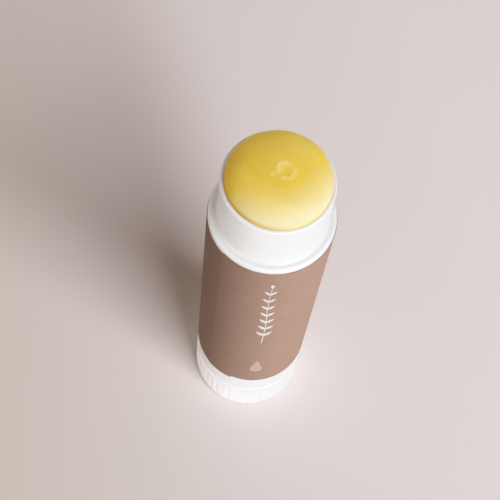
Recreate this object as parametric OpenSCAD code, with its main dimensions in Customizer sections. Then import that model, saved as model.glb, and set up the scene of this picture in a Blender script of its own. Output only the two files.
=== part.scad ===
// Twist-up lip balm stick, cap off, standing on its dial.
// Millimetres. The origin is on the tube's axis at the surface the dial stands on, +Z up.
// The elevator is at the bottom of its travel. Turning the dial clockwise, seen from below,
// drives it up the left-hand spindle and pushes the balm out of the neck.

/* [Tube] */
// Bore that the balm and the elevator slide in
bore_d = 12.9; // [12:0.1:16]
// Wall of the tube's body
body_wall = 1.55; // [1.4:0.05:2]
// Wall of the neck that a cap slides over
neck_wall = 0.45; // [0.4:0.05:0.8]
// Height of the body, from its foot to the shoulder
body_len = 44; // [36:0.5:60]
// Height of the neck above the shoulder
neck_len = 8.2; // [6:0.1:12]
// Rounding of the shoulder's outer edge
shoulder_round = 0.5; // [0.2:0.05:0.6]
// Fillet where the neck stands on the shoulder
neck_fillet = 0.4; // [0.1:0.05:0.5]
// Rounding of the neck's lip
lip_round = 0.2; // [0.1:0.05:0.3]

/* [Guide ribs in the bore] */
// Number of ribs that keep the elevator from turning
rib_count = 4; // [2:1:6]
// Width of a rib
rib_w = 1; // [0.6:0.1:1.4]
// Height of a rib above the bore's wall
rib_h = 0.35; // [0.2:0.05:0.5]
// Distance from the top of the ribs to the lip
rib_stop = 2; // [1.5:0.1:4]

/* [Dial] */
// Height of the dial below the tube
dial_h = 7.1; // [5:0.1:10]
// How far the dial's grip stands out past the tube
dial_flare = 0.05; // [0:0.05:0.3]
// Number of flutes round the grip
flute_count = 48; // [24:1:52]
// Depth of a flute
flute_depth = 0.08; // [0.04:0.02:0.12]
// Radius of the cutter that leaves a flute
flute_r = 0.8; // [0.5:0.05:0.9]
// Plain band above and below the flutes
grip_band = 0.9; // [0.5:0.1:1.5]
// Rounding of the dial's bottom edge
dial_round = 0.5; // [0.2:0.05:0.7]
// Depth of the hollow under the dial
recess_depth = 0.6; // [0.3:0.1:1]
// Width of the ring that the dial stands on
foot_ring_w = 1.5; // [1:0.1:2.5]
// Thickness of the dial's floor
dial_floor = 1.2; // [0.8:0.1:2]
// Height of the hub inside the tube
hub_len = 4.2; // [3.4:0.1:6]
// Wall of the hub
hub_wall = 0.8; // [0.6:0.1:1.2]
// How far the snap bead stands out of the hub
bead_h = 0.28; // [0.2:0.01:0.35]
// Height of the snap bead above the tube's foot
bead_rise = 2.2; // [1.6:0.1:2.4]

/* [Spindle] */
// Diameter of the spindle's core
core_d = 3; // [2.4:0.1:3.6]
// Height of the thread above the core
thread_depth = 0.8; // [0.5:0.05:1]
// Rise of the elevator for one turn of the dial
lead = 3; // [2.6:0.1:4]
// Number of turns from the bottom to the top of the travel
turns = 13; // [8:1:14]
// Thickness of the thread at the core
thread_root = 1.3; // [1:0.05:1.5]
// Thickness of the thread at its crest
thread_crest = 0.7; // [0.4:0.05:0.9]
// How far the two flats along the thread, where the mould parts, stand outside the core
flat_out = 0.15; // [0.05:0.05:0.3]
// Length of the pointed tip
tip_len = 0.8; // [0.4:0.1:1.5]
// Thickness of the four gussets at the spindle's foot
gusset_t = 0.8; // [0.5:0.1:1.2]

/* [Elevator] */
// Height of the cup's wall
cup_h = 5.5; // [4.5:0.1:7]
// Wall of the cup
cup_wall = 0.8; // [0.75:0.05:1.1]
// Thickness of the cup's floor
cup_floor = 1; // [0.8:0.1:1.5]
// Height of the cup's floor above its lower edge
cup_skirt = 1.5; // [0.8:0.1:2]
// Height of the threaded nut
nut_len = 4.8; // [4:0.1:7]
// Wall of the nut outside its thread
nut_wall = 0.9; // [0.7:0.1:1.1]
// Number of vanes that grip the balm
vane_count = 4; // [2:1:6]
// Thickness of a vane
vane_t = 0.7; // [0.5:0.1:1]
// Height of a vane above the cup's floor
vane_h = 5.4; // [4:0.1:8]

/* [Balm] */
// Height of the balm's dome above the lip
dome_h = 3.6; // [2:0.1:6]
// Fullness of the dome's edge, 2 for an ellipse and more for a squarer edge
dome_power = 2.15; // [2:0.05:3]
// Diameter of the dimple left in the dome
dimple_d = 2.2; // [1:0.1:3]
// Depth of the dimple
dimple_depth = 0.35; // [0.15:0.05:0.6]
// Distance of the dimple from the axis
dimple_off = 0.8; // [0:0.1:2]
// Direction of the dimple from the axis
dimple_angle = 320; // [0:5:360]

/* [Label] */
// Height of the label
label_len = 39; // [20:0.1:44]
// Thickness of the label's film
label_t = 0.06; // [0.05:0.01:0.2]
// Distance from the label's top edge to the shoulder
label_drop = 0.8; // [0.5:0.1:3]
// Length by which the label's end overlaps its start
label_overlap = 3.6; // [2:0.1:8]
// Direction of the label's free end round the axis
seam_angle = 256; // [0:1:360]

/* [Fits] */
// Gap between the dial and the tube's foot
dial_gap = 0.1; // [0.1:0.05:0.4]
// Clearance between the hub and the bore, on the radius
hub_fit = 0.1; // [0.05:0.01:0.15]
// Clearance round the snap bead
bead_fit = 0.2; // [0.15:0.01:0.3]
// Clearance between the cup and the bore, on the radius
cup_fit = 0.15; // [0.1:0.01:0.25]
// Clearance between the balm and the bore, on the radius
balm_fit = 0.05; // [0.03:0.01:0.1]
// Clearance beside and above a guide rib
rib_fit = 0.15; // [0.08:0.01:0.2]
// Clearance round the thread
thread_fit = 0.15; // [0.1:0.01:0.2]
// Gap between the elevator and the hub at the bottom of the travel
rest_gap = 0.3; // [0.2:0.05:0.5]

/* [Hidden] */

$fn = 96;
ARC_STEPS = 6;
DOME_STEPS = 22;
FILM_STEPS = 132;
// Steps in a turn of the nut's groove, and in each arc of the spindle's thread
GROOVE_STEPS = 20;
THREAD_STEPS = 10;
// An overlap that lets two pieces of one moulding join.
weld = 0.2;
// A cut runs this far past the face it opens.
past = 1;
// The balm and the label touch what carries them across this gap.
skin = 0.02;

bore_r = bore_d / 2;
body_r = bore_r + body_wall;
neck_r = bore_r + neck_wall;
shoulder_w = body_r - neck_r;
edge_r = min(shoulder_round, 0.48 * shoulder_w);
fillet_r = min(neck_fillet, 0.48 * shoulder_w);
lip_r = min(lip_round, 0.45 * neck_wall);

tube_z = dial_h + dial_gap;
shoulder_z = tube_z + body_len;
lip_z = shoulder_z + neck_len;

dial_r = body_r + dial_flare;
hub_r = bore_r - hub_fit;
pocket_r = hub_r - hub_wall;
floor_z = recess_depth + dial_floor;
hub_z = tube_z + hub_len;
bead_z = tube_z + bead_rise;

core_r = core_d / 2;
thread_r = core_r + thread_depth;
travel = turns * lead;

elevator_z = hub_z + rest_gap;
cup_r = bore_r - cup_fit;
cup_in_r = cup_r - cup_wall;
cup_floor_z = elevator_z + cup_skirt + cup_floor;
cup_top_z = elevator_z + cup_h;
nut_r = thread_r + thread_fit + nut_wall;
notch_r = bore_r - rib_h - rib_fit;
thread_end_z = elevator_z + travel + nut_len;

rib_z = hub_z + rest_gap / 2;
rib_top_z = lip_z - rib_stop;

balm_r = bore_r - balm_fit;
dome_z = lip_z + dome_h;
hole_top_z = thread_end_z + tip_len + thread_fit;

label_top_z = shoulder_z - label_drop;
label_z = label_top_z - label_len;

// Points of an arc about [x, z].
function arc(x, z, r, from, to) =
  [for (i = [0 : ARC_STEPS])
    let (a = from + (to - from) * i / ARC_STEPS)
    [x + r * cos(a), z + r * sin(a)]];

// Angle about the axis that a length round a circle covers.
function turn_of(len, r) = len / r * 180 / PI;

// A ring round the axis with a round section.
module bead(r, z, section_r) {
  rotate_extrude()
    translate([r, z])
      circle(r = section_r, $fn = 24);
}

// Copies of a piece, evenly round the axis.
module around(count, start = 0) {
  for (i = [0 : count - 1])
    rotate([0, 0, start + i * 360 / count])
      children();
}

// A straight key along the bore, used for the ribs and for what clears them.
module key(r_in, r_out, w, z0, z1) {
  translate([r_in, -w / 2, z0])
    cube([r_out - r_in, w, z1 - z0]);
}

// Radius of the thread's crest at a helix angle, cut back where the flats cross it.
function crest_r(a, flats) = flats ? min(thread_r, (core_r + flat_out) / abs(cos(a))) : thread_r;

// A left-hand thread swept from one helix angle to another. grow widens it all round, for a groove.
module helix(from, to, steps, grow = 0, flats = false) {
  r_in = core_r - weld;
  flank = (thread_root - thread_crest) / 2 / thread_depth;
  rings = [for (i = [0 : steps])
    let (
      a = from + (to - from) * i / steps,
      r_out = crest_r(a, flats) + grow,
      z = elevator_z + lead * a / 360,
      half_in = thread_root / 2 + flank * weld + grow,
      half_out = thread_root / 2 - flank * (r_out - core_r) + grow
    )
    each [for (p = [[r_in, -half_in], [r_out, -half_out], [r_out, half_out], [r_in, half_in]])
      [p[0] * cos(a), -p[0] * sin(a), z + p[1]]]];
  sides = [for (i = [0 : steps - 1], k = [0 : 3])
    let (a = 4 * i + k, b = 4 * i + (k + 1) % 4)
    each [[a, b + 4, b], [a, a + 4, b + 4]]];
  last = 4 * steps;
  ends = [[0, 1, 2], [0, 2, 3], [last, last + 2, last + 1], [last, last + 3, last + 2]];
  polyhedron(points = rings, faces = concat(sides, ends), convexity = 10);
}

module tube() {
  foot_chamfer = 0.15;
  section = concat(
    [[bore_r, tube_z], [body_r - foot_chamfer, tube_z], [body_r, tube_z + foot_chamfer]],
    arc(body_r - edge_r, shoulder_z - edge_r, edge_r, 0, 90),
    arc(neck_r + fillet_r, shoulder_z + fillet_r, fillet_r, 270, 180),
    arc(neck_r - lip_r, lip_z - lip_r, lip_r, 0, 90),
    [[bore_r, lip_z]]
  );
  color([0.97, 0.97, 0.97]) {
    difference() {
      rotate_extrude() polygon(section);
      bead(hub_r, bead_z, bead_h + bead_fit);
    }
    around(rib_count)
      key(bore_r - rib_h, bore_r + weld, rib_w, rib_z, rib_top_z);
  }
}

// Film wrapped once round the body, its end lapped over its start.
module label() {
  lap = turn_of(label_overlap, body_r);
  start = seam_angle - lap;
  // The film climbs over its own start along this angle.
  climb = 10;
  function climbed(a) = min(1, max(0, (a - start - 360 + climb) / climb));
  function film_r(a) = body_r + skin + (label_t + skin) * climbed(a);
  function at(i, lift) =
    let (a = start + (360 + lap) * i / FILM_STEPS)
    (film_r(a) + lift) * [cos(a), sin(a)];
  color([0.62, 0.5, 0.43])
    translate([0, 0, label_z])
      linear_extrude(label_len)
        polygon([
          for (i = [0 : FILM_STEPS]) at(i, 0),
          for (i = [FILM_STEPS : -1 : 0]) at(i, label_t)
        ]);
}

module grip() {
  top_chamfer = 0.15;
  rotate_extrude()
    polygon(concat(
      [[0, recess_depth], [dial_r - foot_ring_w - recess_depth, recess_depth], [dial_r - foot_ring_w, 0]],
      arc(dial_r - dial_round, dial_round, dial_round, 270, 360),
      [[dial_r, dial_h - top_chamfer], [dial_r - top_chamfer, dial_h], [0, dial_h]]
    ));
}

module flutes() {
  around(flute_count)
    translate([dial_r + flute_r - flute_depth, 0, grip_band])
      cylinder(r = flute_r, h = dial_h - 2 * grip_band, $fn = 32);
}

module hub() {
  lead_in = 0.4;
  rotate_extrude()
    polygon([
      [0, floor_z], [hub_r, floor_z], [hub_r, hub_z - lead_in],
      [hub_r - lead_in, hub_z], [0, hub_z]
    ]);
  bead(hub_r, bead_z, bead_h);
}

// Core, tip and thread. The thread is missing along the two flats, where the mould parts.
module spindle() {
  arc_half = 66;
  tip_taper = 0.5;
  arcs = floor((thread_end_z - elevator_z) / lead * 2);
  translate([0, 0, floor_z - weld])
    cylinder(r = core_r, h = thread_end_z - floor_z + weld, $fn = 48);
  translate([0, 0, thread_end_z])
    cylinder(r1 = core_r, r2 = core_r * tip_taper, h = tip_len, $fn = 48);
  for (i = [0 : arcs - 1])
    helix(90 + 180 * i - arc_half, 90 + 180 * i + arc_half, THREAD_STEPS, 0, true);
}

module dial_and_spindle() {
  gusset_h = 3;
  gate_d = 1.6;
  gate_depth = 0.2;
  color([0.96, 0.96, 0.96]) {
    difference() {
      union() {
        grip();
        hub();
      }
      flutes();
      translate([0, 0, floor_z])
        cylinder(r = pocket_r, h = hub_z - floor_z + past);
      translate([0, 0, recess_depth - past])
        cylinder(d = gate_d, h = past + gate_depth, $fn = 32);
    }
    around(4, 45)
      key(core_r - weld, pocket_r + weld, gusset_t, floor_z - weld, floor_z + gusset_h);
    spindle();
  }
}

// The elevator's solid inside the cup: the nut and the vanes that the balm is cast round.
module grip_core(grow = 0) {
  vane_tip_w = 0.6;
  vane_top_z = cup_floor_z + vane_h + grow;
  translate([0, 0, elevator_z - grow])
    cylinder(r = nut_r + grow, h = nut_len + 2 * grow, $fn = 64);
  around(vane_count, 180 / rib_count)
    rotate([90, 0, 0])
      linear_extrude(vane_t + 2 * grow, center = true)
        polygon([
          [nut_r - weld, cup_floor_z - weld], [cup_in_r + weld, cup_floor_z - weld],
          [cup_in_r + weld, cup_top_z - weld], [nut_r + vane_tip_w + grow, vane_top_z],
          [nut_r - weld, vane_top_z]
        ]);
}

module elevator() {
  // The groove is cut this many turns past both ends of the nut.
  run_out = 0.75;
  nut_turns = nut_len / lead;
  groove_steps = ceil((nut_turns + 2 * run_out) * GROOVE_STEPS);
  color([0.93, 0.94, 0.94])
    difference() {
      union() {
        difference() {
          translate([0, 0, elevator_z])
            cylinder(r = cup_r, h = cup_h);
          translate([0, 0, elevator_z - past])
            cylinder(r = cup_in_r, h = cup_skirt + past);
          translate([0, 0, cup_floor_z])
            cylinder(r = cup_in_r, h = cup_h);
        }
        grip_core();
      }
      around(rib_count)
        key(notch_r, bore_r + past, rib_w + 2 * rib_fit, elevator_z - past, cup_top_z + past);
      translate([0, 0, elevator_z - past])
        cylinder(r = core_r + thread_fit, h = nut_len + 2 * past, $fn = 48);
      helix(-360 * run_out, 360 * (nut_turns + run_out), groove_steps, thread_fit);
    }
}

module balm() {
  dome = [for (i = [0 : DOME_STEPS - 1])
    let (a = 90 * i / DOME_STEPS)
    [balm_r * pow(cos(a), 2 / dome_power), lip_z + dome_h * pow(sin(a), 2 / dome_power)]];
  // A sphere of this radius cuts a dimple of the stated width and depth.
  dimple_r = (pow(dimple_d / 2, 2) + pow(dimple_depth, 2)) / (2 * dimple_depth);
  color([0.88, 0.76, 0.33])
    difference() {
      rotate_extrude()
        polygon(concat(
          [[0, cup_floor_z + skin], [cup_in_r - skin, cup_floor_z + skin],
           [cup_in_r - skin, cup_top_z + skin], [balm_r, cup_top_z + skin]],
          dome,
          [[0, dome_z]]
        ));
      around(rib_count)
        key(notch_r, bore_r + past, rib_w + 2 * rib_fit, cup_top_z - past, rib_top_z + rib_fit);
      grip_core(skin);
      translate([0, 0, cup_floor_z - past])
        cylinder(r = thread_r + thread_fit, h = hole_top_z - cup_floor_z + past, $fn = 64);
      rotate([0, 0, dimple_angle])
        translate([dimple_off, 0, dome_z - dimple_depth + dimple_r])
          sphere(r = dimple_r, $fn = 64);
    }
}

tube();
label();
dial_and_spindle();
elevator();
balm();
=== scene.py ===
"""A twist-up lip balm stick without its cap, standing on a pale floor in soft light from the front right."""
import math

import bpy
from mathutils import Matrix, Vector, noise


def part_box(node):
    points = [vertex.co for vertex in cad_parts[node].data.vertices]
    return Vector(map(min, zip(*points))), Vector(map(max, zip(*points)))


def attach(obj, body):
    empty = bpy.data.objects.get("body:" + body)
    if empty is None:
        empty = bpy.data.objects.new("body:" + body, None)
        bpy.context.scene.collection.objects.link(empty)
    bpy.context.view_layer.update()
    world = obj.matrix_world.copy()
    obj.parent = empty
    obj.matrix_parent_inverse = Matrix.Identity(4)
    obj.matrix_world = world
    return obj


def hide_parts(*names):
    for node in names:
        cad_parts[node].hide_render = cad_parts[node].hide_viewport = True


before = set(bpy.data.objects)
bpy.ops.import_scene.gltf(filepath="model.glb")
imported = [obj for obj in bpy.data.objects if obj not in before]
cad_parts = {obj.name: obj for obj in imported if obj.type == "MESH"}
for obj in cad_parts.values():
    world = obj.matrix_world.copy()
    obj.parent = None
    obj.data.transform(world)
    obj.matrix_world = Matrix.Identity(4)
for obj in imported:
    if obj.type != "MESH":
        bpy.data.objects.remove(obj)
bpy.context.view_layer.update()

MM = 0.001

# The poured balm lies this much closer to the bore than its solid does.
BALM_SWELL = 0.035 * MM

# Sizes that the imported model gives.
tube_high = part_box("tube")[1]
label_low, label_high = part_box("label")
balm_low, balm_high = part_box("balm")
elevator_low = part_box("elevator")[0]
BODY_R = tube_high.x
LIP_Z = tube_high.z
BALM_R = balm_high.x + BALM_SWELL
DOME_H = balm_high.z - LIP_Z

# The photograph's camera: its place, turns, sensor in millimetres and focal length in pixels.
CAMERA_AT = Vector((-2.056, -66.226, 178.530)) * MM
CAMERA_TILT = math.radians(64.5)
CAMERA_ROLL = math.radians(8.9)
SENSOR = 36
FOCAL_PIXELS = 1168.1
PHOTO_PIXELS = 500
CLIP_START = 10 * MM

# The balm's inside, which holds the cup, the nut and the spindle.
HOLE_R = 2.45 * MM
HOLE_TOP = 56.45 * MM
NUT_R = 3.37 * MM
NUT_TOP = elevator_low.z + 4.82 * MM
CUP_IN_R = 5.48 * MM
CUP_TOP = elevator_low.z + 5.52 * MM

# The slots that the tube's ribs leave in the balm.
SLOTS = 4
SLOT_R = 5.95 * MM
SLOT_HALF_W = 0.65 * MM
SLOT_TOP = LIP_Z - 1.85 * MM

# The dome's form and the balm's mesh.
DOME_POWER = 2.15
BALM_STEPS = 288
SKIRT_RINGS = 12
DOME_RINGS = 140

# The poured top is a little uneven, and sunk so that it stays within the solid's height.
SWELL_H = 0.035 * MM
SWELL_SIZE = 2.6 * MM
SINK = 0.03 * MM

# The pit left where the poured balm set last, and the crumb beside it, seen from above.
PIT_AT = Vector((0.60, -0.50)) * MM
PIT_R = 0.62 * MM
PIT_DEPTH = 0.15 * MM
PIT_WOBBLE = 0.2 * MM
PIT_WOBBLE_SIZE = 0.55 * MM
PIT_LIP_R = 1.05 * MM
PIT_LIP_W = 0.25 * MM
PIT_LIP_H = 0.03 * MM
# Where the lip is lowest, it has this share of its height.
PIT_LIP_LEAST = 0.1
CRUMB_AT = Vector((-0.87, -1.21)) * MM
CRUMB_R = 0.17 * MM
CRUMB_H = 0.02 * MM
# Across the pit, the line on whose two ends its lip is highest and paler.
PIT_LOBE_ANGLE = math.radians(135)
# The sides where the balm's painted sheen (the lit side), its painted amber shade and its painted dark shade
# line (the shaded side) lie.
SHEEN_ANGLE = math.radians(-60)
SHADED_EDGE_ANGLE = math.radians(172)
LINE_ANGLE = math.radians(200)

# The label, wrapped once round the body with its end lapped over its start.
FILM_T = 0.06 * MM
GLUE = 0.02 * MM
SEAM_ANGLE = math.radians(256)
OVERLAP = 3.6 * MM
# The film climbs over its own start along this angle.
CLIMB = math.radians(10)
# From start to end, the film drops by this much, and it has its true height at this share of its turn.
SKEW = 0.34 * MM
TRUE_AT = 0.6
FILM_COLUMNS = 308
FILM_ROWS = 40
LAP_ANGLE = OVERLAP / BODY_R
FILM_START = SEAM_ANGLE - LAP_ANGLE
FILM_TURN = math.tau + LAP_ANGLE

# The print on the label.
PRINT_ANGLE = math.radians(280.3)
PRINT_LIFT = 0.004 * MM
PRINT_T = 0.012 * MM
SPRIG_LOW = 27.4 * MM
SPRIG_HIGH = 47.0 * MM
STEM_FOOT_HALF_W = 0.072 * MM
STEM_TIP_HALF_W = 0.036 * MM
STEM_SWAY = 0.12 * MM
LEAF_PAIRS = 7
# Where on the stem the lowest and highest pair of leaves grow, and the tip's leaf.
FIRST_PAIR = 0.14
LAST_PAIR = 0.86
TIP_AT = 0.97
LEAF_LENGTH = 1.15 * MM
LEAF_RISE = 1.5 * MM
LEAF_HALF_W = 0.30 * MM
# The leaves would shrink by this share from the stem's foot to its tip.
LEAF_TAPER = 0.35
TIP_RISE = 1.1 * MM
TIP_HALF_W = 0.22 * MM
DROP_LOW = 15.6 * MM
DROP_HIGH = 20.4 * MM
# The drop's half width as a share of its height.
DROP_WIDTH = 0.21

# Edges sharper than these stay sharp in the shading.
SHARP_EDGE = math.radians(35)
BALM_SHARP_EDGE = math.radians(50)


def smooth(x):
    """Goes from 0 to 1 with level ends as x goes from 0 to 1."""
    x = min(1, max(0, x))
    return x * x * (3 - 2 * x)


def bell(x):
    """1 at 0, falling off to nothing by about 2 on either side."""
    return math.exp(-x * x)


def around(radius, height, angle):
    """The point at this distance from the axis, height and direction."""
    return Vector((radius * math.cos(angle), radius * math.sin(angle), height))


def mesh_piece(name, verts, faces, body, material, sharp=SHARP_EDGE):
    """A smooth shaded mesh that rides on a CAD body."""
    mesh = bpy.data.meshes.new(name)
    mesh.from_pydata(verts, [], faces)
    mesh.validate()
    mesh.shade_smooth()
    mesh.set_sharp_from_angle(angle=sharp)
    mesh.materials.append(material)
    piece = bpy.data.objects.new(name, mesh)
    bpy.context.scene.collection.objects.link(piece)
    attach(piece, body)
    return piece


def revolve(profile, steps, place):
    """Points and faces round the axis. profile runs from axis to axis as (radius, height) pairs."""
    verts, faces, rings = [], [], []
    for radius, height in profile:
        start = len(verts)
        if radius == 0:
            verts.append(place(0, height, 0))
            rings.append([start] * steps)
            continue
        verts += [place(radius, height, math.tau * i / steps) for i in range(steps)]
        rings.append(range(start, start + steps))
    for low, high in zip(rings, rings[1:]):
        for i in range(steps):
            j = (i + 1) % steps
            corners = [low[i], low[j], high[j], high[i]]
            faces.append(list(dict.fromkeys(corners)))
    return verts, faces


def add_sheet(verts, faces, columns, rows, thickness, place):
    """Adds a thin closed sheet. place takes shares across and up it, and the lift off its back."""
    start = len(verts)
    for lift in (thickness, 0):
        for c in range(columns + 1):
            for r in range(rows + 1):
                verts.append(place(c / columns, r / rows, lift))
    inner = (columns + 1) * (rows + 1)

    def at(c, r):
        return start + c * (rows + 1) + r

    for c in range(columns):
        for r in range(rows):
            quad = [at(c, r), at(c + 1, r), at(c + 1, r + 1), at(c, r + 1)]
            faces.append(quad)
            faces.append([inner + v for v in reversed(quad)])
    edge = [at(c, 0) for c in range(columns + 1)]
    edge += [at(columns, r) for r in range(1, rows + 1)]
    edge += [at(c, rows) for c in reversed(range(columns))]
    edge += [at(0, r) for r in reversed(range(1, rows))]
    for a, b in zip(edge, edge[1:] + edge[:1]):
        faces.append([a, inner + a, inner + b, b])


# The balm.

def pit_height(x, y):
    """Height that the pit, its broken lip and the crumb add to the dome at a point seen from above."""
    at = Vector((x, y)) - PIT_AT
    wobble = noise.noise(Vector((at.x, at.y, 0)) / PIT_WOBBLE_SIZE)
    away = at.length + PIT_WOBBLE * wobble
    lobes = 0.5 + 0.5 * math.cos(2 * (math.atan2(at.y, at.x) - PIT_LOBE_ANGLE))
    pit = -PIT_DEPTH * math.exp(-(max(0, away / PIT_R) ** 3))
    lip = PIT_LIP_H * (PIT_LIP_LEAST + (1 - PIT_LIP_LEAST) * lobes) * bell((away - PIT_LIP_R) / PIT_LIP_W)
    crumb = CRUMB_H * bell((Vector((x, y)) - CRUMB_AT).length / CRUMB_R)
    return pit + lip + crumb


def balm_point(radius, height, angle):
    """A point of the balm, moved in where a slot runs and up or down where the poured top is uneven."""
    away = abs((angle * SLOTS / math.tau + 0.5) % 1 - 0.5) * math.tau / SLOTS
    if radius > SLOT_R and height < SLOT_TOP and away * radius < SLOT_HALF_W:
        radius = SLOT_R
    point = around(radius, height, angle)
    if height > LIP_Z and radius < BALM_R:
        rise = smooth((height - LIP_Z) / DOME_H)
        swell = SWELL_H * noise.noise(point / SWELL_SIZE)
        point.z += rise * (swell + pit_height(point.x, point.y) - SINK)
    return point


def balm_profile():
    """The balm's section, from the top of the spindle's hole round the outside to the top of the dome."""
    # Rings this far below and above the slots' top make the slots end there.
    just_below, just_above = 0.01 * MM, 0.05 * MM
    skirt = []
    for i in range(SKIRT_RINGS + 1):
        height = CUP_TOP + (SLOT_TOP - CUP_TOP) * i / SKIRT_RINGS
        skirt.append((BALM_R, height - just_below))
    dome = []
    for i in range(DOME_RINGS):
        a = math.pi / 2 * i / DOME_RINGS
        radius = BALM_R * math.cos(a) ** (2 / DOME_POWER)
        dome.append((radius, LIP_Z + DOME_H * math.sin(a) ** (2 / DOME_POWER)))
    return (
        [(0, HOLE_TOP), (HOLE_R, HOLE_TOP), (HOLE_R, NUT_TOP), (NUT_R, NUT_TOP)]
        + [(NUT_R, balm_low.z), (CUP_IN_R, balm_low.z), (CUP_IN_R, CUP_TOP)]
        + skirt
        + [(BALM_R, SLOT_TOP + just_above)]
        + dome
        + [(0, LIP_Z + DOME_H)]
    )


def balm():
    verts, faces = revolve(balm_profile(), BALM_STEPS, balm_point)
    wax = wax_material()
    piece = mesh_piece("balm_bullet", verts, faces, "elevator", wax, BALM_SHARP_EDGE)
    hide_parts("balm")
    return piece


# The label and its print.

def film_radius(turned):
    """Radius of the film's inner face after it has turned this far from its start."""
    climbed = smooth((turned - math.tau + CLIMB) / CLIMB)
    return BODY_R + GLUE + (FILM_T + GLUE) * climbed


def film_height(share, turned):
    """Height of a point of the film. It was wrapped a little out of square, so its end hangs low."""
    drift = SKEW * (TRUE_AT - turned / FILM_TURN)
    return label_low.z + (label_high.z - label_low.z) * share + drift


def label():
    verts, faces = [], []

    def place(across, up, lift):
        turned = FILM_TURN * across
        return around(film_radius(turned) + lift, film_height(up, turned), FILM_START + turned)

    add_sheet(verts, faces, FILM_COLUMNS, FILM_ROWS, FILM_T, place)
    piece = mesh_piece("label_film", verts, faces, "barrel", film_material())
    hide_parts("label")


def add_stroke(verts, faces, line, half_width, columns=4, rows=14):
    """Adds one printed stroke. line(t) is its middle on the label's face as (length round, height)."""
    face_r = BODY_R + GLUE + FILM_T + PRINT_LIFT
    step = 0.01

    def place(across, up, lift):
        ahead = (line(min(1, up + step)) - line(max(0, up - step))).normalized()
        left = Vector((-ahead.y, ahead.x))
        spot = line(up) + left * half_width(up) * (1 - 2 * across)
        return around(face_r + lift, spot.y, PRINT_ANGLE + spot.x / face_r)

    add_sheet(verts, faces, columns, rows, PRINT_T, place)


def leaf_line(root, side, length, rise):
    """A leaf's middle line, from its root on the stem out and up to its tip."""
    upturn = 0.25

    def line(t):
        return root + Vector((side * length * t, rise * t * (1 + upturn - upturn * t)))
    return line


def leaf_width(widest):
    """A leaf's half width along its middle line: pointed at both ends and widest below its middle."""
    thinnest = 0.015 * MM

    def half_width(t):
        return max(thinnest, widest * math.sin(math.pi * t ** 0.8) ** 0.9)
    return half_width


def sprig():
    """A plain sprig: a fine stem with leaves in pairs that get smaller towards its tip."""
    verts, faces = [], []

    def stem(t):
        return Vector((STEM_SWAY * math.sin(math.tau * t), SPRIG_LOW + (SPRIG_HIGH - SPRIG_LOW) * t))

    def stem_width(t):
        return STEM_FOOT_HALF_W + (STEM_TIP_HALF_W - STEM_FOOT_HALF_W) * t

    add_stroke(verts, faces, stem, stem_width, columns=2, rows=60)
    for k in range(LEAF_PAIRS):
        t = FIRST_PAIR + (LAST_PAIR - FIRST_PAIR) * k / (LEAF_PAIRS - 1)
        size = 1 - LEAF_TAPER * t
        for side in (-1, 1):
            line = leaf_line(stem(t), side, LEAF_LENGTH * size, LEAF_RISE * size)
            add_stroke(verts, faces, line, leaf_width(LEAF_HALF_W * size))
    add_stroke(verts, faces, leaf_line(stem(TIP_AT), 0, 0, TIP_RISE), leaf_width(TIP_HALF_W))
    mesh_piece("printed_sprig", verts, faces, "barrel", ink_material("sprig_ink", SPRIG_INK))


def drop():
    """A plain drop, printed in a fainter ink."""
    verts, faces = [], []
    height = DROP_HIGH - DROP_LOW
    thinnest = 0.03 * MM

    def middle(t):
        return Vector((0, DROP_LOW + height * t))

    def half_width(t):
        round_foot = math.sqrt(max(0, math.sin(math.pi * t ** 0.62)))
        pointed_top = (1 - t) ** 0.55
        return max(thinnest, DROP_WIDTH * height * round_foot * pointed_top)

    add_stroke(verts, faces, middle, half_width, columns=16, rows=40)
    mesh_piece("printed_drop", verts, faces, "barrel", ink_material("drop_ink", DROP_INK))


# Materials.

WAX = (0.71, 0.515, 0.058)
WAX_PALE = (0.77, 0.58, 0.086)
WAX_FLECK = (0.92, 0.82, 0.42, 1)
# Colour of the painted shade on the balm's edge on its shaded side.
WAX_PAINTED_SHADE = (0.61, 0.385, 0.020, 1)
# Colour of the painted sheen on the balm's lit side.
WAX_PAINTED_SHEEN = (0.745, 0.67, 0.455, 1)
# Colour of the painted rim light where the wax meets the lip.
WAX_RIM_LIGHT = (0.95, 0.68, 0.10, 1)
# Colour of the painted shade line just above the lip.
WAX_LINE_SHADE = (0.56, 0.335, 0.020, 1)
# Colour of the paler patches on the two ends of the pit's lip.
WAX_PALE_PATCH = (0.90, 0.86, 0.60, 1)
WAX_CRUMB = (0.90, 0.86, 0.64, 1)
# The film's ink: its broad tone and its fine grain, each from darker to paler.
FILM_TONE = ((0.395, 0.248, 0.184), (0.425, 0.270, 0.200))
FILM_GRAIN = ((0.31, 0.188, 0.135), (0.53, 0.350, 0.265))
FILM_GRAIN_SHARE = 0.45
SPRIG_INK = (0.86, 0.80, 0.76)
DROP_INK = (0.58, 0.43, 0.36)
WHITE_PLASTIC = (0.76, 0.755, 0.75)
INNER_PLASTIC = (0.70, 0.71, 0.70)


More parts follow.
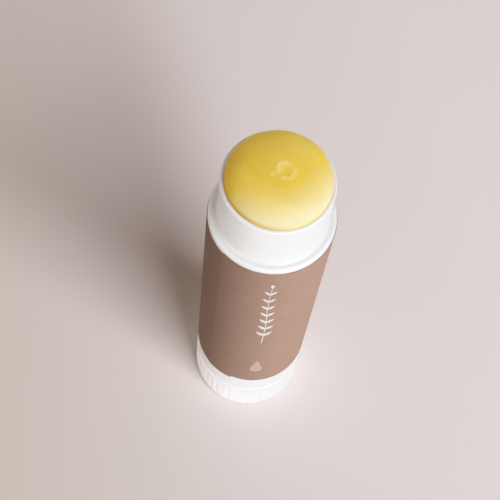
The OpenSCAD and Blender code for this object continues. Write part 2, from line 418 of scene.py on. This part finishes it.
class Nodes:
    """Short names for building a material's node tree."""

    def __init__(self, name):
        self.material = bpy.data.materials.new(name)
        self.material.use_nodes = True
        self.tree = self.material.node_tree
        self.shader = self.tree.nodes["Principled BSDF"]
        self.place = self.add("ShaderNodeTexCoord").outputs["Object"]

    def add(self, kind, **values):
        node = self.tree.nodes.new(kind)
        for key, value in values.items():
            setattr(node, key, value)
        return node

    def link(self, out, into):
        self.tree.links.new(out, into)

    def noise(self, size, detail=2, rough=0.5):
        """A noise whose features are about this large, in metres."""
        node = self.add("ShaderNodeTexNoise")
        node.inputs["Scale"].default_value = 1 / size
        node.inputs["Detail"].default_value = detail
        node.inputs["Roughness"].default_value = rough
        self.link(self.place, node.inputs["Vector"])
        return node.outputs["Fac"]

    def ramp(self, fac, *stops):
        """A colour ramp. Each stop is (position, colour or grey)."""
        node = self.add("ShaderNodeValToRGB")
        elements = node.color_ramp.elements
        while len(elements) < len(stops):
            elements.new(1)
        for element, (position, colour) in zip(elements, stops):
            if not isinstance(colour, tuple):
                colour = (colour, colour, colour)
            element.position = position
            element.color = (*colour, 1)
        self.link(fac, node.inputs["Fac"])
        return node.outputs["Color"]

    def fill(self, socket, value):
        """Links a node's output to the socket, or writes a plain value there."""
        if isinstance(value, (int, float, tuple)):
            socket.default_value = value
        else:
            self.link(value, socket)

    def calc(self, kind, *values):
        node = self.add("ShaderNodeMath", operation=kind)
        for socket, value in zip(node.inputs, values):
            self.fill(socket, value)
        return node.outputs["Value"]

    def mix(self, fac, a, b):
        """The colour a where fac is 0 and b where it is 1."""
        node = self.add("ShaderNodeMix", data_type="RGBA")
        for socket, value in ((0, fac), (6, a), (7, b)):
            self.fill(node.inputs[socket], value)
        return node.outputs[2]

    def distance(self, x, y, z):
        """Distance from a point of the object, in metres."""
        node = self.add("ShaderNodeVectorMath", operation="DISTANCE")
        node.inputs[1].default_value = (x, y, z)
        self.link(self.place, node.inputs[0])
        return node.outputs["Value"]

    def height(self):
        """Height above the floor at rest, in metres."""
        node = self.add("ShaderNodeSeparateXYZ")
        self.link(self.place, node.inputs["Vector"])
        return node.outputs["Z"]

    def towards(self, angle):
        """How far a point lies from the axis in this direction, in metres."""
        node = self.add("ShaderNodeVectorMath", operation="DOT_PRODUCT")
        node.inputs[1].default_value = (math.cos(angle), math.sin(angle), 0)
        self.link(self.place, node.inputs[0])
        return node.outputs["Value"]

    def from_axis(self):
        """Distance from the axis, in metres."""
        x = self.towards(0)
        y = self.towards(math.pi / 2)
        return self.calc("SQRT", self.calc("ADD", self.calc("MULTIPLY", x, x), self.calc("MULTIPLY", y, y)))

    def bump(self, height, distance):
        node = self.add("ShaderNodeBump")
        node.inputs["Distance"].default_value = distance
        self.link(height, node.inputs["Height"])
        self.link(node.outputs["Normal"], self.shader.inputs["Normal"])

    def set(self, **values):
        for key, value in values.items():
            self.shader.inputs[key.replace("_", " ")].default_value = value


def lip_distance(n):
    """How far a point lies above or below the tube's lip at rest, in millimetres."""
    return n.calc("DIVIDE", n.calc("ABSOLUTE", n.calc("SUBTRACT", n.height(), LIP_Z)), MM)


def facing(n, angle):
    """1 on the side of the axis that looks in this direction, down to 0 a quarter turn away."""
    return n.calc("DIVIDE", n.calc("MAXIMUM", n.towards(angle), 0), n.from_axis())


def flecks(n):
    """Small pale flecks all over the wax."""
    return n.ramp(n.noise(0.35 * MM, 2), (0.60, 0.0), (0.80, 0.08))


def painted_amber_shade(n):
    """Painted shade: a deeper amber along the balm's edge on its shaded side."""
    return n.ramp(n.calc("DIVIDE", n.towards(SHADED_EDGE_ANGLE), BALM_R), (0.64, 0.0), (0.97, 0.75))


def painted_sheen(n):
    """Painted sheen: a pale coat in place of the main lamp's broad highlight, strongest at the dome's edge
    on the lit side, and gone a little below the lip.
    """
    outer = n.calc("POWER", n.calc("DIVIDE", n.from_axis(), BALM_R), 2)
    spread = n.calc("MULTIPLY", n.calc("POWER", facing(n, SHEEN_ANGLE), 0.6), outer)
    spread = n.ramp(spread, (0.14, 0.0), (0.85, 0.88))
    below = n.calc("DIVIDE", n.calc("SUBTRACT", LIP_Z, n.height()), 2 * MM)
    return n.calc("MULTIPLY", spread, n.ramp(below, (0.1, 1.0), (1.0, 0.0)))


def painted_rim_light(n):
    """Painted light: a bright thin edge where the wax meets the tube's lip, in place of light scattered in
    the wax there.
    """
    return n.ramp(lip_distance(n), (0.15, 0.65), (0.50, 0.0))


def painted_dark_line(n):
    """Painted shade: a dark amber line just above the lip on the shaded side, where the balm meets the tube.
    """
    return n.calc("MULTIPLY", n.ramp(lip_distance(n), (0.25, 0.95), (0.85, 0.0)), facing(n, LINE_ANGLE))


def pale_patches(n):
    """The patchy whitish ring on the two ends of the pit's lip."""
    from_pit = n.distance(PIT_AT.x, PIT_AT.y, LIP_Z + DOME_H)
    ring = n.ramp(n.calc("DIVIDE", from_pit, 2 * MM), (0.30, 0.0), (0.50, 1.0), (0.70, 0.0))
    lobe_way = Vector((math.cos(PIT_LOBE_ANGLE), math.sin(PIT_LOBE_ANGLE)))
    sideways = n.calc("SUBTRACT", n.towards(PIT_LOBE_ANGLE), PIT_AT.dot(lobe_way))
    lobe = n.calc("ABSOLUTE", n.calc("DIVIDE", sideways, from_pit))
    patchy = n.ramp(n.noise(0.6 * MM, 2), (0.30, 0.10), (0.62, 0.52))
    return n.calc("MULTIPLY", n.calc("MULTIPLY", ring, lobe), patchy)


def crumb(n):
    """The pale crumb beside the pit."""
    near = n.distance(CRUMB_AT.x, CRUMB_AT.y, LIP_Z + DOME_H)
    return n.ramp(n.calc("DIVIDE", near, 0.6 * MM), (0.2, 0.22), (0.8, 0.0))


# What lies over the wax's own colour, in this order: where it lies, and its colour. The flecks, the pale
# patches and the crumb are the wax's own; the amber shade, sheen, rim and dark line are painted light and
# shade.
WAX_COATS = (
    (flecks, WAX_FLECK),
    (painted_amber_shade, WAX_PAINTED_SHADE),
    (painted_sheen, WAX_PAINTED_SHEEN),
    (painted_rim_light, WAX_RIM_LIGHT),
    (painted_dark_line, WAX_LINE_SHADE),
    (pale_patches, WAX_PALE_PATCH),
    (crumb, WAX_CRUMB),
)


def wax_material():
    """Beeswax balm: yellow and faintly mottled, with painted light and shade in its colour: a painted deeper
    amber shade at its edge on the shaded side, a painted pale sheen towards the lit side, and a painted
    bright rim and dark shade line at the lip.
    """
    n = Nodes("balm_wax")
    colour = n.ramp(n.noise(3.2 * MM, 3), (0.32, WAX), (0.68, WAX_PALE))
    for where, coat in WAX_COATS:
        colour = n.mix(where(n), colour, coat)
    n.link(colour, n.shader.inputs["Base Color"])
    n.link(n.ramp(n.noise(1.5 * MM, 2), (0.3, 0.50), (0.7, 0.60)), n.shader.inputs["Roughness"])
    n.set(Subsurface_Weight=0.9, Subsurface_Scale=0.3 * MM, Subsurface_Radius=(1.0, 0.75, 0.35))
    n.set(IOR=1.45, Specular_IOR_Level=0.25)
    n.bump(n.calc("ADD", n.noise(0.9 * MM, 3), n.calc("MULTIPLY", n.noise(0.18 * MM, 2), 0.3)), 0.02 * MM)
    return n.material


def film_material():
    """Matte printed film: brown ink with a fine grain."""
    n = Nodes("label_film")
    tone = n.ramp(n.noise(7 * MM, 2), (0.35, FILM_TONE[0]), (0.65, FILM_TONE[1]))
    grain = n.ramp(n.noise(0.30 * MM, 3, 0.7), (0.30, FILM_GRAIN[0]), (0.70, FILM_GRAIN[1]))
    n.link(n.mix(FILM_GRAIN_SHARE, tone, grain), n.shader.inputs["Base Color"])
    n.link(n.ramp(n.noise(0.4 * MM, 2), (0.3, 0.60), (0.7, 0.72)), n.shader.inputs["Roughness"])
    n.set(Specular_IOR_Level=0.05)
    n.bump(n.noise(0.2 * MM, 3, 0.6), 0.012 * MM)
    return n.material


def ink_material(name, colour):
    """Pale ink, a little uneven where it lies on the grain."""
    n = Nodes(name)
    worn = tuple(0.88 * c for c in colour)
    n.link(n.ramp(n.noise(0.2 * MM, 2), (0.35, worn), (0.6, colour)), n.shader.inputs["Base Color"])
    n.set(Roughness=0.5, Specular_IOR_Level=0.4)
    n.bump(n.noise(0.12 * MM, 3, 0.6), 0.006 * MM)
    return n.material


def plastic_material(name, colour, roughness, depth):
    """Moulded plastic: smooth, translucent to this depth, with a faint orange peel from the mould."""
    n = Nodes(name)
    darker = tuple(0.98 * c for c in colour)
    n.link(n.ramp(n.noise(9 * MM, 2), (0.35, darker), (0.65, colour)), n.shader.inputs["Base Color"])
    dull = n.ramp(n.noise(1.2 * MM, 3), (0.3, roughness - 0.04), (0.7, roughness + 0.05))
    n.link(dull, n.shader.inputs["Roughness"])
    n.set(Subsurface_Weight=0.9, Subsurface_Scale=depth, Subsurface_Radius=(1.0, 0.95, 0.9))
    n.set(Sheen_Weight=0.4, Sheen_Roughness=0.6)
    n.bump(n.noise(0.5 * MM, 2), 0.006 * MM)
    return n.material


def dress_cad_nodes():
    """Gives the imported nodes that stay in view, or inside, their plastics."""
    finishes = {
        "tube": plastic_material("tube_white", WHITE_PLASTIC, 0.40, 0.3 * MM),
        "dial_and_spindle": plastic_material("dial_white", WHITE_PLASTIC, 0.40, 1.0 * MM),
        "elevator": plastic_material("inner_plastic", INNER_PLASTIC, 0.42, 1.0 * MM),
    }
    for name, material in finishes.items():
        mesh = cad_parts[name].data
        mesh.materials.clear()
        mesh.materials.append(material)


# The stage.

# Each soft box: its direction and height in degrees, distance and side in metres, level and colour.
KEY = dict(angle=-45.5, height=34.5, away=1.50, side=1.00, level=1.25, colour=(0.89, 0.95, 1.0))
FILL = dict(angle=90, height=70, away=0.90, side=0.80, level=0.18, colour=(1.0, 0.77, 0.63))
SIDE_GLOW = dict(angle=207, height=16, away=0.90, side=0.80, level=0.60, colour=(1.0, 0.94, 0.90))
BACK_GLOW = dict(angle=80, height=30, away=0.90, side=0.80, level=0.42, colour=(1.0, 0.97, 0.93))
DIAL_GLOW = dict(angle=200, height=8, away=0.90, side=0.80, level=0.30, colour=(1.0, 0.97, 0.95))
SKY_LEVEL = 0.05
SKY_COLOUR = (1.0, 0.75, 0.62, 1)
BACKDROP = (0.80, 0.74, 0.72, 1)
FLOOR_HALF = 2.0
# Painted light falloff: the floor is painted paler in this direction, over this width in metres, from the
# first to the last colour, in place of the light fading across it.
FLOOR_LIGHT_ANGLE = math.radians(20)
FLOOR_FADE = 0.09
FLOOR_FALLOFF_COLOURS = ((0.80, 0.705, 0.635), (0.90, 0.815, 0.785), (0.965, 0.885, 0.870))
# The floor turns to the backdrop between these distances from the axis, in metres.
FAR_FROM = 0.25
FAR_TO = 0.80


def camera():
    data = bpy.data.cameras.new("camera")
    data.sensor_width = SENSOR
    data.lens = SENSOR * FOCAL_PIXELS / PHOTO_PIXELS
    data.clip_start = CLIP_START
    holder = bpy.data.objects.new("camera", data)
    pitch = Matrix.Rotation(math.pi / 2 - CAMERA_TILT, 4, "X")
    roll = Matrix.Rotation(CAMERA_ROLL, 4, "Z")
    holder.matrix_world = Matrix.Translation(CAMERA_AT) @ pitch @ roll
    bpy.context.scene.collection.objects.link(holder)
    bpy.context.scene.camera = holder


def soft_box(name, angle, height, away, side, level, colour):
    """A square area light. At level 1 a surface at the origin that faces it shows its own colour."""
    data = bpy.data.lights.new(name, "AREA")
    data.shape = "SQUARE"
    data.size = side
    data.energy = level * math.pi ** 2 * away ** 2
    data.color = colour
    holder = bpy.data.objects.new(name, data)
    turn, lift = math.radians(angle), math.radians(height)
    out = around(math.cos(lift), math.sin(lift), turn)
    holder.location = out * away
    holder.rotation_euler = out.to_track_quat("Z", "Y").to_euler()
    bpy.context.scene.collection.objects.link(holder)
    return holder


def glow(name, pieces, values):
    """A soft box that lights only these pieces, for the light that comes through wax and thin walls."""
    lit = bpy.data.collections.new(name)
    for piece in pieces:
        lit.objects.link(piece)
    soft_box(name, **values).light_linking.receiver_collection = lit


def glows(bullet):
    """Lights the shaded side of the wax and the white pieces, the wax's back, and the dial."""
    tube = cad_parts["tube"]
    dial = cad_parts["dial_and_spindle"]
    glow("side_glow", [bullet, tube, dial], SIDE_GLOW)
    glow("back_glow", [bullet], BACK_GLOW)
    glow("dial_glow", [dial], DIAL_GLOW)


def backdrop_rays(tree):
    """1 for camera, glossy and see-through rays, which meet the backdrop's colour, and 0 for the rest."""
    rays = tree.nodes.new("ShaderNodeLightPath")
    seen = rays.outputs["Is Camera Ray"]
    for kind in ("Is Glossy Ray", "Is Transmission Ray"):
        either = tree.nodes.new("ShaderNodeMath")
        either.operation = "MAXIMUM"
        tree.links.new(seen, either.inputs[0])
        tree.links.new(rays.outputs[kind], either.inputs[1])
        seen = either.outputs["Value"]
    return seen


def sky():
    """An even pale world with the backdrop in front of it."""
    world = bpy.data.worlds.new("sky")
    world.use_nodes = True
    bpy.context.scene.world = world
    tree = world.node_tree
    light = tree.nodes["Background"]
    light.inputs["Color"].default_value = SKY_COLOUR
    light.inputs["Strength"].default_value = SKY_LEVEL
    shown = tree.nodes.new("ShaderNodeBackground")
    shown.inputs["Color"].default_value = BACKDROP
    mixed = tree.nodes.new("ShaderNodeMixShader")
    tree.links.new(backdrop_rays(tree), mixed.inputs["Fac"])
    tree.links.new(light.outputs["Background"], mixed.inputs[1])
    tree.links.new(shown.outputs["Background"], mixed.inputs[2])
    tree.links.new(mixed.outputs["Shader"], tree.nodes["World Output"].inputs["Surface"])


def floor_material():
    n = Nodes("floor")
    # Painted light falloff: the floor's colour grows paler towards one side.
    across = n.calc("MULTIPLY_ADD", n.towards(FLOOR_LIGHT_ANGLE), 1 / FLOOR_FADE, 0.5)
    near = n.ramp(across, *zip((0.0, 0.5, 1.0), FLOOR_FALLOFF_COLOURS))
    outwards = n.ramp(n.from_axis(), (FAR_FROM, 0.0), (FAR_TO, 1.0))
    far = n.calc("MULTIPLY", outwards, backdrop_rays(n.tree))
    n.link(n.mix(far, near, (0, 0, 0, 1)), n.shader.inputs["Base Color"])
    n.link(far, n.shader.inputs["Emission Strength"])
    n.set(Emission_Color=BACKDROP, Roughness=0.9, Specular_IOR_Level=0.2)
    return n.material


def floor():
    """A pale floor, painted paler towards one side in place of the light falling off across it, which fades
    into the backdrop far from the object.
    """
    mesh = bpy.data.meshes.new("floor")
    corners = [(x * FLOOR_HALF, y * FLOOR_HALF, 0) for x, y in ((-1, -1), (1, -1), (1, 1), (-1, 1))]
    mesh.from_pydata(corners, [], [(0, 1, 2, 3)])
    mesh.materials.append(floor_material())
    piece = bpy.data.objects.new("floor", mesh)
    bpy.context.scene.collection.objects.link(piece)


bpy.context.scene.view_settings.view_transform = "Standard"
camera()
soft_box("key", **KEY)
soft_box("fill", **FILL)
sky()
floor()
dress_cad_nodes()
bullet = balm()
label()
sprig()
drop()
glows(bullet)
